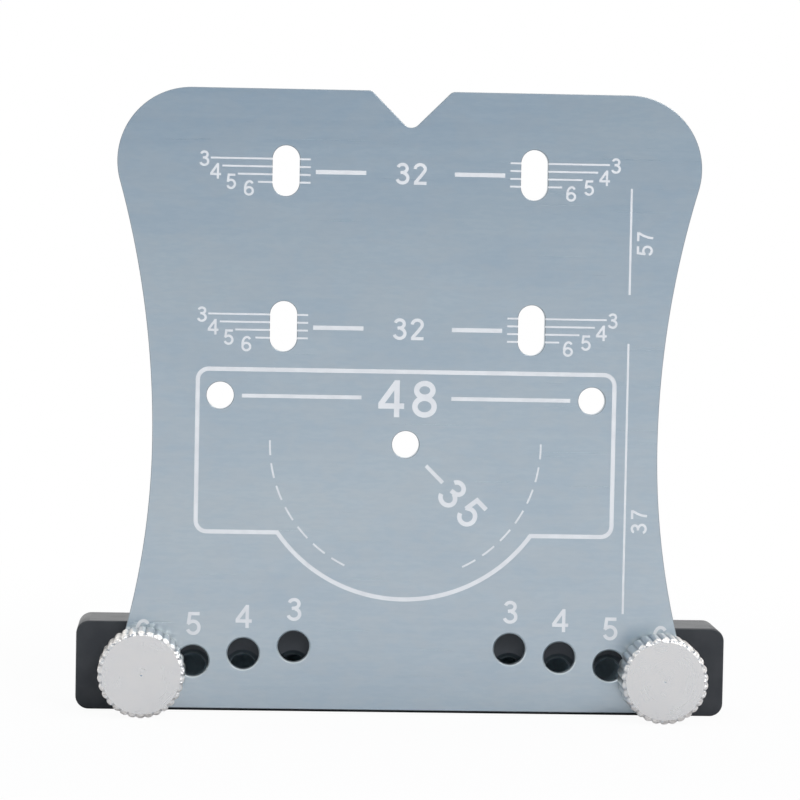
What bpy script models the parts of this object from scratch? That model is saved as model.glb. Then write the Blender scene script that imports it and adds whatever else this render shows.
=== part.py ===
"""Hinge drilling jig: a waisted steel guide plate with a fence bar behind its foot, held by two thumb screws.

Metres, +Z up. The plate faces -Y. The origin is the centre of the footprint, on the surface it stands on.
"""

import math

import bmesh
import bpy
from mathutils import Matrix

# Drilling pattern, set out from the centre of the hinge's cup
CUP_DIAMETER = 0.035
HINGE_SCREW_SPACING = 0.048
HINGE_SCREW_RISE = 0.006
PILOT_DIAMETER = 0.0035
SLOT_SPACING = 0.032
LOWER_SLOT_SETBACK = 0.037
UPPER_SLOT_SETBACK = 0.057

# Distances from the door's edge to the cup, which the fence can be set to
FIRST_SETTING = 0.003
SETTING_STEP = 0.001
SETTING_COUNT = 4

# Rows of fence holes: one pair for each setting, stepping outwards
FIRST_PAIR_SPACING = 0.028
PAIR_STEP = 0.0065

# Guide plate
PLATE_THICKNESS = 0.0015
SIDE_MARGIN = 0.00415
FOOT_MARGIN = 0.0051
TOP_MARGIN = 0.0105
WAIST_INSET = 0.005
WAIST_ABOVE_CUP = 0.0002
SHOULDER_RADIUS = 0.0095
FOOT_RADIUS = 0.003
NOTCH_WIDTH = 0.0104
NOTCH_HALF_ANGLE = math.radians(45)
NOTCH_ROOT_RADIUS = 0.00125
NOTCH_LIP_RADIUS = 0.0009

# Fence bar
BAR_HEIGHT = 0.0115
BAR_DEPTH = 0.010
BAR_END_MARGIN = 0.0086
BAR_CORNER_RADIUS = 0.0017
FENCE_TO_SCREWS = 0.0059
TAPPED_DEPTH = 0.008
DRILL_POINT_ANGLE = math.radians(118)

# Thumb screws
THREAD_DIAMETER = 0.0040
THREAD_CLEARANCE = 0.0001
SCREW_HOLE_CLEARANCE = 0.0001
SHANK_LENGTH = 0.008
SHANK_CHAMFER = 0.0004
HEAD_DIAMETER = 0.0112
HEAD_HEIGHT = 0.0062
HEAD_CHAMFER = 0.0005
COLLAR_DIAMETER = 0.0080
COLLAR_HEIGHT = 0.0010
KNURL_TEETH = 30
KNURL_DEPTH = 0.00025
SEAT_GAP = 0.00005

# Engraved marks: depth, widths of line, heights of text, and numerals as shares of their height
ENGRAVING_DEPTH = 0.00012
OUTLINE_LINE = 0.00055
LABEL_LINE = 0.0005
RULE_LINE = 0.00028
LEADER_LINE = 0.00024
HINGE_TEXT = 0.00478
CUP_TEXT = 0.0040
FENCE_TEXT = 0.0030
SPACING_TEXT = 0.0028
SETBACK_TEXT = 0.0021
SETTING_TEXT = 0.0020
STROKE_SHARE = 0.148
DIGIT_PITCH = 0.86

# Outline of a fitted hinge, engraved round the pattern
HINGE_OUTLINE_MARGIN = 0.0029
HINGE_OUTLINE_RISE = 0.0034
HINGE_OUTLINE_DROP = 0.0116
HINGE_OUTLINE_CORNER = 0.0014
CUP_OUTLINE_MARGIN = 0.00257

# Where things lie
CUP_RADIUS = CUP_DIAMETER / 2
SETTINGS = [FIRST_SETTING + i * SETTING_STEP for i in range(SETTING_COUNT)]
SETTING_USED = SETTINGS[-1]
PAIR_X = [FIRST_PAIR_SPACING / 2 + i * PAIR_STEP for i in range(SETTING_COUNT)]
FENCE_BELOW_CUP = CUP_RADIUS + SETTING_USED
PLATE_BELOW_CUP = CUP_RADIUS + SETTINGS[-1] + FENCE_TO_SCREWS + FOOT_MARGIN
BELOW_FENCE = max(BAR_HEIGHT, FENCE_TO_SCREWS + HEAD_DIAMETER / 2)
CUP_Z = max(FENCE_BELOW_CUP + BELOW_FENCE, PLATE_BELOW_CUP)
SCREW_Z = CUP_Z - FENCE_BELOW_CUP - FENCE_TO_SCREWS
HEAD_STANDOFF = SEAT_GAP + COLLAR_HEIGHT + HEAD_HEIGHT
FRONT_Y = (HEAD_STANDOFF - PLATE_THICKNESS - SEAT_GAP - BAR_DEPTH) / 2
BAR_FRONT_Y = FRONT_Y + PLATE_THICKNESS + SEAT_GAP
SCREW_HOLE_DIAMETER = THREAD_DIAMETER + SCREW_HOLE_CLEARANCE

# Fineness of round shapes
ROUND_SIDES = 24
SIDE_STEPS = 12
CORNER_STEPS = 11
SMALL_ARC_STEPS = 3
BAR_CORNER_STEPS = 6
CUP_LINE_STEPS = 20
WELD = 1e-7
MARK_INTO_HOLE = 0.0001


def start_scene():
    """Empties the scene and makes one collection for the parts and three for what cuts them."""
    for obj in list(bpy.data.objects):
        bpy.data.objects.remove(obj)
    found = []
    for name in ("hinge_drilling_jig", "cutters", "engraving", "tapping"):
        collection = bpy.data.collections.new(name)
        bpy.context.scene.collection.children.link(collection)
        found.append(collection)
    return found


def material(name, colour, roughness, metallic):
    made = bpy.data.materials.new(name)
    made.use_nodes = True
    shader = made.node_tree.nodes["Principled BSDF"]
    shader.inputs["Base Color"].default_value = (*colour, 1)
    shader.inputs["Roughness"].default_value = roughness
    shader.inputs["Metallic"].default_value = metallic
    return made


def arc(centre, radius, start, end, steps):
    """Points on an arc, angles in degrees, both ends included."""
    angles = [math.radians(start + (end - start) * i / steps) for i in range(steps + 1)]
    return [(centre[0] + radius * math.cos(a), centre[1] + radius * math.sin(a)) for a in angles]


def fresh_mesh(obj):
    """The object's evaluated shape as a mesh of its own, welded and with its faces turned out."""
    bpy.context.view_layer.update()
    graph = bpy.context.evaluated_depsgraph_get()
    mesh = bpy.data.meshes.new_from_object(obj.evaluated_get(graph))
    shape = bmesh.new()
    shape.from_mesh(mesh)
    bmesh.ops.remove_doubles(shape, verts=shape.verts, dist=WELD)
    bmesh.ops.recalc_face_normals(shape, faces=shape.faces)
    shape.to_mesh(mesh)
    shape.free()
    return mesh


def mesh_from_curve(curve, collection):
    """Replaces a curve object with a mesh object of the same name."""
    collection.objects.link(curve)
    mesh = fresh_mesh(curve)
    name, place = curve.name, curve.matrix_world.copy()
    bpy.data.objects.remove(curve)
    obj = bpy.data.objects.new(name, mesh)
    obj.matrix_world = place
    collection.objects.link(obj)
    return obj


def poly_spline(data, points, closed):
    spline = data.splines.new("POLY")
    spline.points.add(len(points) - 1)
    for point, (x, y) in zip(spline.points, points):
        point.co = (x, y, 0, 1)
    spline.use_cyclic_u = closed


def upright(y):
    """Stands a flat drawing up, so that its x and y become world x and z, at a depth y."""
    return Matrix.Translation((0, y, 0)) @ Matrix.Rotation(math.radians(90), 4, "X")


def sheet(name, outlines, thickness, front_y, collection):
    """A flat piece that faces -Y: the first outline is its edge and the others are holes."""
    flat = bpy.data.curves.new(name, "CURVE")
    flat.dimensions = "2D"
    flat.fill_mode = "BOTH"
    flat.extrude = thickness / 2
    for points in outlines:
        poly_spline(flat, points, True)
    curve = bpy.data.objects.new(name, flat)
    curve.matrix_world = upright(front_y + thickness / 2)
    return mesh_from_curve(curve, collection)


def round_hole(x, z, diameter):
    return arc((x, z), diameter / 2, 0, 360, ROUND_SIDES)[:-1]


def as_cutter(obj):
    obj.hide_render = True
    obj.display_type = "WIRE"
    return obj


def side_and_corner(corner_radius, waist_z, edge_z):
    """Points from the waist along the hollow side and round a corner to a flat edge, on the +X side."""
    half = PAIR_X[-1] + SIDE_MARGIN
    up = 1 if edge_z > waist_z else -1
    corner = (half - corner_radius, edge_z - up * corner_radius)
    rise = abs(corner[1] - waist_z)
    waist_half = half - WAIST_INSET
    inwards = waist_half - corner[0]
    radius = (inwards**2 + rise**2 - corner_radius**2) / (2 * (corner_radius - inwards))
    turn = math.degrees(math.asin(rise / (radius + corner_radius)))
    side = arc((waist_half + radius, waist_z), radius, 180, 180 - up * turn, SIDE_STEPS)
    return side + arc(corner, corner_radius, -up * turn, up * 90, CORNER_STEPS)[1:]


def notch_points(top_z):
    """The V notch from its right lip to its left lip, with a rounded root and rounded lips."""
    slope = math.degrees(NOTCH_HALF_ANGLE)
    reach = NOTCH_LIP_RADIUS * math.tan(math.radians(90 - slope) / 2)
    lip_centre = (NOTCH_WIDTH / 2 + reach, top_z - NOTCH_LIP_RADIUS)
    sharp_z = top_z - NOTCH_WIDTH / 2 / math.tan(NOTCH_HALF_ANGLE)
    root_centre = (0, sharp_z + NOTCH_ROOT_RADIUS / math.sin(NOTCH_HALF_ANGLE))
    right = arc(lip_centre, NOTCH_LIP_RADIUS, 90, 180 - slope, SMALL_ARC_STEPS)
    right += arc(root_centre, NOTCH_ROOT_RADIUS, -slope, -90, SMALL_ARC_STEPS)
    return right + [(-x, z) for x, z in reversed(right[:-1])]


def plate_outline():
    top_z = CUP_Z + slot_rise(UPPER_SLOT_SETBACK) + TOP_MARGIN
    waist_z = CUP_Z + WAIST_ABOVE_CUP
    upper = side_and_corner(SHOULDER_RADIUS, waist_z, top_z)
    lower = side_and_corner(FOOT_RADIUS, waist_z, CUP_Z - PLATE_BELOW_CUP)
    right = list(reversed(lower)) + upper[1:]
    return right + notch_points(top_z) + [(-x, z) for x, z in reversed(right)]


def line_rise(setback, setting):
    """Height above the cup's centre of a line at a setback from the door's edge, for one setting."""
    return setback - CUP_RADIUS - setting


def slot_rise(setback):
    return (line_rise(setback, SETTINGS[0]) + line_rise(setback, SETTINGS[-1])) / 2


def slot_hole(x, z):
    """A slot as wide as a pilot hole, long enough for every setting."""
    radius, half_run = PILOT_DIAMETER / 2, (SETTINGS[-1] - SETTINGS[0]) / 2
    top = arc((x, z + half_run), radius, 0, 180, ROUND_SIDES // 2)
    return top + arc((x, z - half_run), radius, 180, 360, ROUND_SIDES // 2)


def fence_hole_z(setting):
    return CUP_Z + line_rise(0, setting) - FENCE_TO_SCREWS


def plate_holes():
    holes = [round_hole(0, CUP_Z, PILOT_DIAMETER)]
    for side in (-1, 1):
        holes.append(round_hole(side * HINGE_SCREW_SPACING / 2, CUP_Z + HINGE_SCREW_RISE, PILOT_DIAMETER))
        for setback in (LOWER_SLOT_SETBACK, UPPER_SLOT_SETBACK):
            holes.append(slot_hole(side * SLOT_SPACING / 2, CUP_Z + slot_rise(setback)))
        for x, setting in zip(PAIR_X, SETTINGS):
            holes.append(round_hole(side * x, fence_hole_z(setting), SCREW_HOLE_DIAMETER))
    return holes


def oval(cx, cz, rx, rz, start, end, steps):
    """Points on part of an ellipse, angles in degrees."""
    return [(cx + rx * x, cz + rz * z) for x, z in arc((0, 0), 1, start, end, steps)]


def numeral(digit):
    """A plain numeral one unit high: its width, and its strokes as (points, closed)."""
    low, high = STROKE_SHARE / 2, 1 - STROKE_SHARE / 2
    if digit == 9:
        width, strokes = numeral(6)
        return width, [([(width - x, 1 - z) for x, z in points], closed) for points, closed in strokes]
    shapes = {
        0: (0.62, [(oval(0.31, 0.5, 0.25, high - 0.5, 0, 360, 14)[:-1], True)]),
        1: (0.50, [([(0.36, 0), (0.36, 1)], False), ([(0.10, 0.76), (0.34, 0.92)], False)]),
        2: (
            0.62,
            [
                (oval(0.31, 0.72, 0.23, high - 0.72, 180, -30, 7) + [(0.36, 0.42), (0.09, 0.10)], False),
                ([(0.03, low), (0.61, low)], False),
            ],
        ),
        3: (
            0.62,
            [
                (oval(0.30, 0.74, 0.21, high - 0.74, 165, -90, 8) + [(0.20, 0.54)], False),
                (oval(0.30, 0.30, 0.25, 0.30 - low, 80, -165, 8), False),
            ],
        ),
        4: (
            0.70,
            [
                ([(0.50, 0), (0.50, 1)], False),
                ([(0.48, 0.93), (0.075, 0.36), (0.075, 0.304), (0.70, 0.304)], False),
            ],
        ),
        5: (
            0.62,
            [
                ([(0.58, high), (0.16, high), (0.10, 0.47)], False),
                ([(0.07, 0.49)] + oval(0.31, 0.335, 0.25, 0.335 - low, 120, -160, 9), False),
            ],
        ),
        6: (
            0.63,
            [
                (oval(0.32, 0.31, 0.25, 0.31 - low, 0, 360, 12)[:-1], True),
                (oval(0.35, 0.47, 0.28, high - 0.47, 45, 185, 7), False),
            ],
        ),
        7: (
            0.60,
            [
                ([(0.03, high), (0.58, high)], False),
                ([(0.54, 0.92), (0.36, 0.60), (0.26, 0.30), (0.22, 0)], False),
            ],
        ),
        8: (
            0.66,
            [
                (oval(0.33, 0.74, 0.22, high - 0.74, 0, 360, 12)[:-1], True),
                (oval(0.33, 0.30, 0.26, 0.30 - low, 0, 360, 12)[:-1], True),
            ],
        ),
    }
    return shapes[digit]


def label(size, centre, height, turn=0.0, pitch=DIGIT_PITCH):
    """Strokes that write a size in whole millimetres about a point, turned anticlockwise by degrees."""
    text = str(round(size * 1000))
    cos, sin = math.cos(math.radians(turn)), math.sin(math.radians(turn))
    found = []
    for place, letter in enumerate(text):
        width, strokes = numeral(int(letter))
        shift = (place - (len(text) - 1) / 2) * pitch - width / 2
        for points, closed in strokes:
            flat = [((x + shift) * height, (z - 0.5) * height) for x, z in points]
            turned = [(centre[0] + x * cos - z * sin, centre[1] + x * sin + z * cos) for x, z in flat]
            found.append((turned, closed, STROKE_SHARE * height))
    return found


def level_pair(x0, x1, z, line):
    """A level line and its mirror image on the other side of the plate."""
    return [([(side * x0, z), (side * x1, z)], False, line) for side in (-1, 1)]


def hinge_outline():
    """The hinge's flange with its cup bulging below, as one closed line."""
    corner = HINGE_OUTLINE_CORNER
    x = HINGE_SCREW_SPACING / 2 + HINGE_OUTLINE_MARGIN - corner
    top_z = CUP_Z + HINGE_SCREW_RISE + HINGE_OUTLINE_RISE - corner
    low_z = CUP_Z - HINGE_OUTLINE_DROP + corner
    right = arc((x, low_z), corner, -90, 0, SMALL_ARC_STEPS)
    right += arc((x, top_z), corner, 0, 90, SMALL_ARC_STEPS)
    left = [(-x, z) for x, z in reversed(right)]
    line_radius = CUP_RADIUS + CUP_OUTLINE_MARGIN
    meeting = math.degrees(math.asin(HINGE_OUTLINE_DROP / line_radius))
    bottom = arc((0, CUP_Z), line_radius, meeting - 180, -meeting, CUP_LINE_STEPS)
    return [(right + left + bottom, True, OUTLINE_LINE)]


def cup_edge():
    """The cup's edge as a dashed arc down each side, angles in degrees below the level."""
    first, dash, period, count = -1.0, 6.4, 9.8, 7
    marks = []
    for start in [first + i * period for i in range(count)]:
        for angles in ((-start, -start - dash), (180 + start, 180 + start + dash)):
            marks.append((arc((0, CUP_Z), CUP_RADIUS, *angles, 2), False, LEADER_LINE))
    return marks


def hinge_labels():
    """The hinge screws' spacing between two level lines, and the cup's diameter on a slant."""
    line_start, hole_gap, wide_pitch = 0.0058, 0.00105, 0.90
    row_z = CUP_Z + HINGE_SCREW_RISE
    line_end = HINGE_SCREW_SPACING / 2 - PILOT_DIAMETER / 2 - hole_gap
    marks = level_pair(line_start, line_end, row_z, LABEL_LINE)
    marks += label(HINGE_SCREW_SPACING, (0.0002, row_z - 0.0001), HINGE_TEXT, pitch=wide_pitch)
    slant, dash_start, dash_end = math.sqrt(0.5), 0.0038, 0.0069
    dash_ends = [(r * slant, CUP_Z - r * slant) for r in (dash_start, dash_end)]
    marks.append((dash_ends, False, LABEL_LINE))
    return marks + label(CUP_DIAMETER, (0.0074, CUP_Z - 0.0075), CUP_TEXT, turn=-45)


def slot_marks(setback):
    """A numbered line at each slot for every setting, and the slots' spacing between them."""
    edge = PILOT_DIAMETER / 2 - MARK_INTO_HOLE
    tick, dash_start, dash_gap, narrow_pitch = 0.0015, 0.0057, 0.0038, 0.80
    line_ends = (0.0097, 0.0082, 0.0062, 0.0036)
    text_places = (0.0105, 0.00905, 0.00705, 0.00475)
    text_drops = (0.0001, 0.0007, 0.0010, 0.0008)
    slot_x, marks = SLOT_SPACING / 2, []
    for setting, end, text_x, drop in zip(SETTINGS, line_ends, text_places, text_drops):
        z = CUP_Z + line_rise(setback, setting)
        marks += level_pair(slot_x + edge, slot_x + end, z, LEADER_LINE)
        marks += level_pair(slot_x - edge, slot_x - edge - tick, z, LEADER_LINE)
        for side in (-1, 1):
            marks += label(setting, (side * (slot_x + text_x), z - drop), SETTING_TEXT)
    row_z = CUP_Z + slot_rise(setback) - 0.0001
    marks += level_pair(dash_start, slot_x - dash_gap, row_z, OUTLINE_LINE)
    return marks + label(SLOT_SPACING, (0.0001, row_z), SPACING_TEXT, pitch=narrow_pitch)


def fence_marks():
    """A number over each fence hole."""
    text_rise, marks = 0.00485, []
    for x, setting in zip(PAIR_X, SETTINGS):
        for side in (-1, 1):
            marks += label(setting, (side * x, fence_hole_z(setting) + text_rise), FENCE_TEXT)
    return marks


def setback_rules():
    """Two rules down the right side, from the door's edge to the lower slots and on to the upper ones."""
    rule_x = HINGE_SCREW_SPACING / 2 + HINGE_OUTLINE_MARGIN + 0.0017
    text_x = rule_x + 0.00185
    edge_z = CUP_Z + line_rise(0, SETTINGS[0])
    lower_z, upper_z = edge_z + LOWER_SLOT_SETBACK, edge_z + UPPER_SLOT_SETBACK
    gap = SETTINGS[-1] - SETTINGS[0]
    rules = (
        (LOWER_SLOT_SETBACK, edge_z - 0.0011, lower_z - gap, 0.0055),
        (UPPER_SLOT_SETBACK, lower_z + gap + 0.0003, upper_z - gap, 0.0002),
    )
    marks = []
    for setback, low, high, text_drop in rules:
        marks.append(([(rule_x, low), (rule_x, high)], False, RULE_LINE))
        marks += label(setback, (text_x, (low + high) / 2 - text_drop), SETBACK_TEXT, turn=90)
    return marks


def engrave(plate, marks, cutters):
    """Sinks every mark into the plate's front face, with one cutter for each width of line."""
    for number, line in enumerate(sorted({round(width, 6) for _, _, width in marks})):
        section = bpy.data.curves.new("line_section", "CURVE")
        section.dimensions = "2D"
        corners = [(x * line / 2, y * ENGRAVING_DEPTH) for x, y in ((-1, -1), (1, -1), (1, 1), (-1, 1))]
        poly_spline(section, corners, True)
        profile = bpy.data.objects.new("line_section", section)
        strokes = bpy.data.curves.new(f"line_{number}", "CURVE")
        strokes.dimensions = "2D"
        strokes.fill_mode = "NONE"
        strokes.bevel_mode = "OBJECT"
        strokes.bevel_object = profile
        strokes.use_fill_caps = True
        for points, closed, width in marks:
            if round(width, 6) == line:
                poly_spline(strokes, points, closed)
        curve = bpy.data.objects.new(f"line_{number}", strokes)
        curve.matrix_world = upright(FRONT_Y)
        as_cutter(mesh_from_curve(curve, cutters))
        bpy.data.objects.remove(profile)
    cut = plate.modifiers.new("engraving", "BOOLEAN")
    cut.operand_type = "COLLECTION"
    cut.collection = cutters
    cut.use_self = True


def guide_plate(parts, cutters):
    plate = sheet("guide_plate", [plate_outline()] + plate_holes(), PLATE_THICKNESS, FRONT_Y, parts)
    plate.data.materials.append(material("brushed_steel", (0.55, 0.60, 0.64), 0.35, 0.9))
    marks = hinge_outline() + cup_edge() + hinge_labels() + fence_marks() + setback_rules()
    for setback in (LOWER_SLOT_SETBACK, UPPER_SLOT_SETBACK):
        marks += slot_marks(setback)
    engrave(plate, marks, cutters)


def fence_bar(parts, tapping):
    """The bar lies on the plate's back with its top face at the setting in use and a row of tapped holes."""
    half = PAIR_X[-1] + BAR_END_MARGIN
    top_z, corner = CUP_Z - FENCE_BELOW_CUP, BAR_CORNER_RADIUS
    outline = []
    for x, z, start in (
        (half - corner, top_z - corner, 0),
        (corner - half, top_z - corner, 90),
        (corner - half, top_z - BAR_HEIGHT + corner, 180),
        (half - corner, top_z - BAR_HEIGHT + corner, 270),
    ):
        outline += arc((x, z), corner, start, start + 90, BAR_CORNER_STEPS)
    bar = sheet("fence_bar", [outline], BAR_DEPTH, BAR_FRONT_Y, parts)
    bar.data.materials.append(material("black_anodised", (0.035, 0.037, 0.040), 0.45, 0.3))
    tap_drills(tapping)
    holes = bar.modifiers.new("tapped_holes", "BOOLEAN")
    holes.operand_type = "COLLECTION"
    holes.collection = tapping


def tap_drills(tapping):
    """A drill with a pointed end for each tapped hole, standing in the bar's front face."""
    radius = SCREW_HOLE_DIAMETER / 2
    point = TAPPED_DEPTH + radius / math.tan(DRILL_POINT_ANGLE / 2)
    profile = ((0, PLATE_THICKNESS), (radius, PLATE_THICKNESS), (radius, -TAPPED_DEPTH), (0, -point))
    for number, x in enumerate([side * x for x in PAIR_X for side in (-1, 1)]):
        drill = turned(f"tap_drill_{number}", profile, ROUND_SIDES, tapping)
        drill.location = (x, BAR_FRONT_Y, SCREW_Z)
        drill.rotation_euler = (math.radians(90), 0, 0)


def turned(name, profile, steps, collection):
    """A cutter or blank turned about its own Z axis from a profile of (radius, height) points."""
    shape = bmesh.new()
    ring = [shape.verts.new((r, 0, z)) for r, z in profile]
    for first, second in zip(ring, ring[1:]):
        shape.edges.new((first, second))
    mesh = bpy.data.meshes.new(name)
    shape.to_mesh(mesh)
    shape.free()
    blank = bpy.data.objects.new(name, mesh)
    collection.objects.link(blank)
    turning = blank.modifiers.new("turning", "SCREW")
    turning.steps = turning.render_steps = steps
    turning.use_merge_vertices = True
    turning.merge_threshold = WELD
    return as_cutter(blank)


def turned_screw(cutters):
    """Head, collar and shank as one turned piece about local Z, its collar's seat at the origin."""
    head, chamfer = HEAD_DIAMETER / 2, HEAD_CHAMFER
    shank, top = THREAD_DIAMETER / 2 - THREAD_CLEARANCE, COLLAR_HEIGHT + HEAD_HEIGHT
    profile = (
        (0, top),
        (head - chamfer, top),
        (head, top - chamfer),
        (head, COLLAR_HEIGHT + chamfer),
        (head - chamfer, COLLAR_HEIGHT),
        (COLLAR_DIAMETER / 2, COLLAR_HEIGHT),
        (COLLAR_DIAMETER / 2, 0),
        (shank, 0),
        (shank, SHANK_CHAMFER - SHANK_LENGTH),
        (shank - SHANK_CHAMFER, -SHANK_LENGTH),
        (0, -SHANK_LENGTH),
    )
    return turned("screw_blank", profile, KNURL_TEETH, cutters)


def knurl_cutter(cutters):
    """A ring round the head whose inside is a wave of grooves, with a flat tip left between each pair."""
    head = HEAD_DIAMETER / 2
    valleys = arc((0, 0), head - KNURL_DEPTH, 0, 360, KNURL_TEETH)[:-1]
    half_pitch = 180 / KNURL_TEETH
    peaks = arc((0, 0), head + KNURL_DEPTH / 3, half_pitch, 360 + half_pitch, KNURL_TEETH)[:-1]
    wave = [point for pair in zip(valleys, peaks) for point in pair]
    outer = arc((0, 0), HEAD_DIAMETER, 0, 360, ROUND_SIDES)[:-1]
    flat = bpy.data.curves.new("knurl_grooves", "CURVE")
    flat.dimensions = "2D"
    flat.fill_mode = "BOTH"
    flat.extrude = HEAD_HEIGHT / 2
    for points in (outer, wave):
        poly_spline(flat, points, True)
    curve = bpy.data.objects.new("knurl_grooves", flat)
    curve.matrix_world = Matrix.Translation((0, 0, COLLAR_HEIGHT + HEAD_HEIGHT / 2))
    return as_cutter(mesh_from_curve(curve, cutters))


def thumb_screws(parts, cutters):
    """Two like screws, each with its origin on its own axis and its collar on the plate."""
    blank = turned_screw(cutters)
    grooves = blank.modifiers.new("grooves", "BOOLEAN")
    grooves.object = knurl_cutter(cutters)
    mesh = fresh_mesh(blank)
    mesh.materials.append(material("bright_nickel", (0.78, 0.78, 0.77), 0.18, 1.0))
    mesh.shade_smooth()
    mesh.set_sharp_from_angle(angle=math.radians(25))
    for name, side in (("left_thumb_screw", -1), ("right_thumb_screw", 1)):
        screw = bpy.data.objects.new(name, mesh)
        screw.location = (side * PAIR_X[SETTINGS.index(SETTING_USED)], FRONT_Y - SEAT_GAP, SCREW_Z)
        screw.rotation_euler = (math.radians(90), 0, 0)
        parts.objects.link(screw)


def build():
    parts, cutters, engraving, tapping = start_scene()
    guide_plate(parts, engraving)
    fence_bar(parts, tapping)
    thumb_screws(parts, cutters)


build()
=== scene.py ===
"""A hinge drilling jig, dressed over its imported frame. Metres, +Z up, the plate facing -Y."""

import math

import bmesh
import bpy
from mathutils import Matrix, Vector
from mathutils.geometry import convex_hull_2d, delaunay_2d_cdt


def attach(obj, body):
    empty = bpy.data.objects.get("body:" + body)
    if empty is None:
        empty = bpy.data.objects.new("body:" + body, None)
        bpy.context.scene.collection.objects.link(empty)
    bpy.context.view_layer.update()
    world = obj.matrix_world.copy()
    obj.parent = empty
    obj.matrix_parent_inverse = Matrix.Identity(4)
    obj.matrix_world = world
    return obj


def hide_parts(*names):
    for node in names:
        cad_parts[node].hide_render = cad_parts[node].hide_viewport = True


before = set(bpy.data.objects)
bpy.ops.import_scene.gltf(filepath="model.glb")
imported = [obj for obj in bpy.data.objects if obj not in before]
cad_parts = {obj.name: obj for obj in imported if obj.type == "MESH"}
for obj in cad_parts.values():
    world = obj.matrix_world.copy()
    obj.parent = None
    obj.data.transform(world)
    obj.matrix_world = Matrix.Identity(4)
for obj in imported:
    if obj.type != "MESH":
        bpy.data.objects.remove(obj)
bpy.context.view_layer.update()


# The view: the jig is looked at from a little above and slightly from its left, through a long lens, so
# that the plate is seen almost flat on. The camera was set so that the plate's holes fall where they should.
camera_data = bpy.data.cameras.new("view")
camera_data.sensor_width = 36
camera_data.lens = 174.15
camera = bpy.data.objects.new("view", camera_data)
camera.location = (-0.02527509, -0.49991183, 0.06750697)
camera.rotation_euler = [math.radians(angle) for angle in (86.92637, -1.07177, -2.75399)]
bpy.context.scene.collection.objects.link(camera)
bpy.context.scene.camera = camera
bpy.context.scene.view_settings.view_transform = "Standard"


# The guide plate: one piece of 1.5 mm stainless sheet, cut to a waisted outline with a sighting notch in
# its top edge. It is drilled and slotted for the pilot holes, its edges are broken all round, and its
# faces are brushed from side to side.
CUP_RADIUS = 0.0175
CUP_Z = 0.035
SETTINGS = (0.003, 0.004, 0.005, 0.006)
FENCE_HOLE_X = (0.014, 0.0205, 0.027, 0.0335)
FENCE_TO_SCREWS = 0.0059
HINGE_SCREW_X = 0.024
HINGE_SCREW_RISE = 0.006
PLATE_SLOT_X = 0.016
SETBACKS = (0.037, 0.057)
PILOT_RADIUS = 0.00175
FENCE_HOLE_RADIUS = 0.00205
HOLE_STEPS = 96
WELD = 1e-7

PLATE_THICKNESS = 0.0015
PLATE_FRONT = -0.00215
PLATE_HALF = 0.03765
PLATE_TOP = 0.0805
PLATE_FOOT = 0.0005
PLATE_EDGE = 0.00007
BREAK_WIDTH, BREAK_INTO, BREAK_ABOVE = 0.00016, 0.00008, 0.0001
WAIST_INSET = 0.005
WAIST_Z = 0.0352
SHOULDER_RADIUS = 0.0095
FOOT_RADIUS = 0.003
NOTCH_HALF = 0.0052
NOTCH_ROOT = 0.00125
NOTCH_LIP = 0.0009
CORNER_STEPS = 40
SHARP_DEGREES = 40
EDGE_ON, FACE_ON, SQUARE_ON = 0.05, 0.999, 0.9999

STEEL_COLOUR = (0.630, 0.700, 0.735, 1)
STEEL_DARK = (0.585, 0.664, 0.712, 1)
STEEL_WARM = (0.662, 0.716, 0.726, 1)
FLECK_COLOUR = (0.50, 0.60, 0.66, 1)
PATCH_COLOUR = (0.655, 0.690, 0.700, 1)
RIM_COLOUR = (0.30, 0.33, 0.35, 1)
WALL_COLOUR = (0.56, 0.61, 0.64, 1)


class Wire:
    """A node's output, which sums can be written with."""

    def __init__(self, nodes, socket):
        self.nodes, self.socket = nodes, socket

    def maths(self, operation, *values):
        return self.nodes.add("ShaderNodeMath", {"operation": operation}, dict(enumerate(values)))

    def __add__(self, other):
        return self.maths("ADD", self, other)

    def __sub__(self, other):
        return self.maths("SUBTRACT", self, other)

    def __rsub__(self, other):
        return self.maths("SUBTRACT", other, self)

    def __mul__(self, other):
        return self.maths("MULTIPLY", self, other)

    __radd__, __rmul__ = __add__, __mul__


class Nodes:
    """A tree of shader nodes. Each call adds one node, its settings first and then its sockets."""

    def __init__(self, tree):
        self.tree = tree

    def join(self, value, socket):
        if isinstance(value, Wire):
            self.tree.links.new(value.socket, socket)
        else:
            socket.default_value = value

    def add(self, kind, settings=None, sockets=None, output=0):
        node = self.tree.nodes.new(kind)
        for name, value in (settings or {}).items():
            setattr(node, name, value)
        for name, value in (sockets or {}).items():
            self.join(value, node.inputs[name])
        return Wire(self, node.outputs[output])

    def mix(self, share, first, second):
        return self.add("ShaderNodeMix", {"data_type": "RGBA"}, {0: share, 6: first, 7: second}, 2)

    def ramp(self, value, low, high):
        """Runs smoothly from 0 to 1 as a value goes from low to high."""
        sockets = {"Value": value, "From Min": low, "From Max": high}
        return self.add("ShaderNodeMapRange", {"interpolation_type": "SMOOTHSTEP"}, sockets)


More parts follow.
